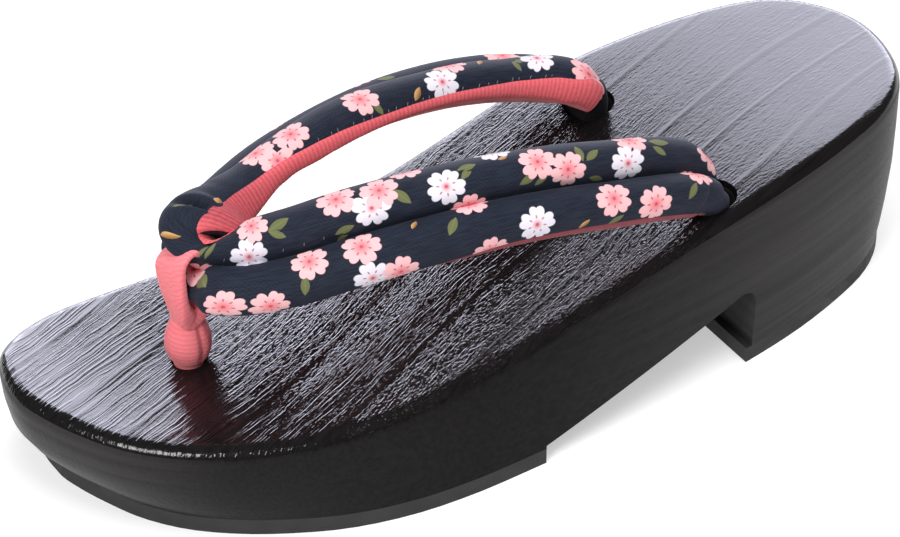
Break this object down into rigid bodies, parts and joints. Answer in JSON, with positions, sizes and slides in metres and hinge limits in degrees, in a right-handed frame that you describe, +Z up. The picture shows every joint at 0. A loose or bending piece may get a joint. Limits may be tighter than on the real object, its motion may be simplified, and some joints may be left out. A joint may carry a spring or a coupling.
{
  "type": "geta sandal",
  "caption": "Left-foot wooden thong sandal: lacquered base with an arch cut-out and heel block on rubber soles, and a padded cloth strap tied down by a toe loop.",
  "frame": {"origin": "on the floor under the middle of the base's length and width", "axes": "+X to the toe, +Y to the wearer's left, +Z up"},
  "size_m": [0.237, 0.085, 0.0749],
  "materials": {
    "lacquered_wood": "black lacquer over brushed grain",
    "sole_rubber": "matte sponge rubber",
    "navy_cloth": "fine cotton weave with a small blossom print",
    "coral_cloth": "ribbed cloth"
  },
  "bodies": {
    "root": {"base": "lacquered_wood", "front_sole": "sole_rubber", "heel_sole": "sole_rubber", "strap": "navy_cloth", "front_loop": "coral_cloth"}
  },
  "joints": []
}
